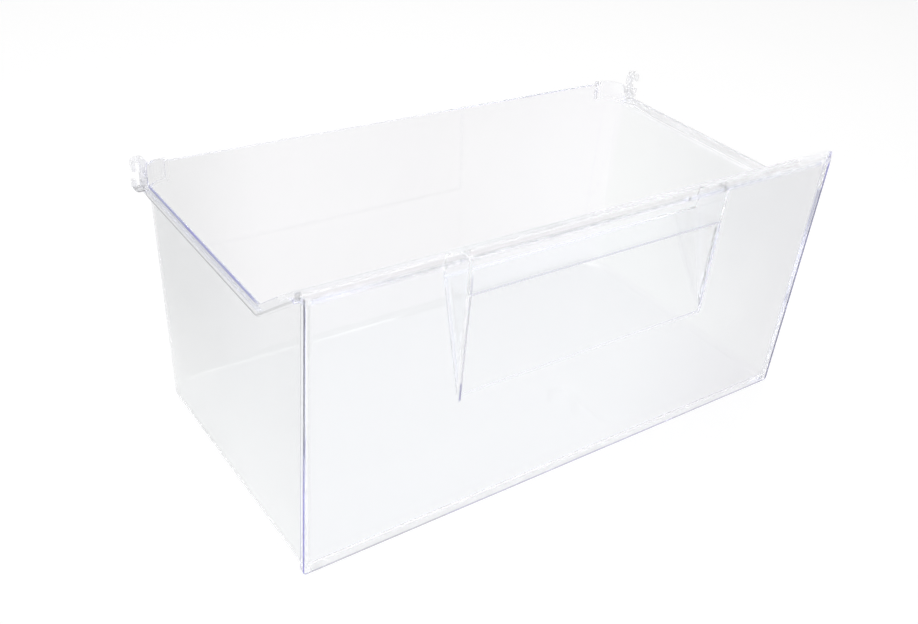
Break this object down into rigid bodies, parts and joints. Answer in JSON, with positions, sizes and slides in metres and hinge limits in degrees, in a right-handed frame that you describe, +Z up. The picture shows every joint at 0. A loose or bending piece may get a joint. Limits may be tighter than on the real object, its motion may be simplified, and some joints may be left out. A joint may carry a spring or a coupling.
{
  "type": "freezer drawer",
  "caption": "clear moulded freezer drawer: tall front plate with a rolled lip and finger pocket, open tub behind it, stepped side rims that rise to the lip, hooked stops at the rear corners",
  "frame": {"origin": "middle of the overall bounding box in X and Y, on the plane of the flat underside in Z", "axes": "X runs along the front plate with the right end at +X when seen from the front, Y runs from the front plate at -Y to the back wall at +Y, Z points up from the underside"},
  "size_m": [0.4222, 0.222, 0.1905],
  "materials": {
    "clear_plastic": "clear injection-moulded polystyrene, glossy, with a faint violet-blue tint that deepens at the edges"
  },
  "bodies": {
    "root": {"drawer_body": "clear_plastic"}
  },
  "joints": []
}
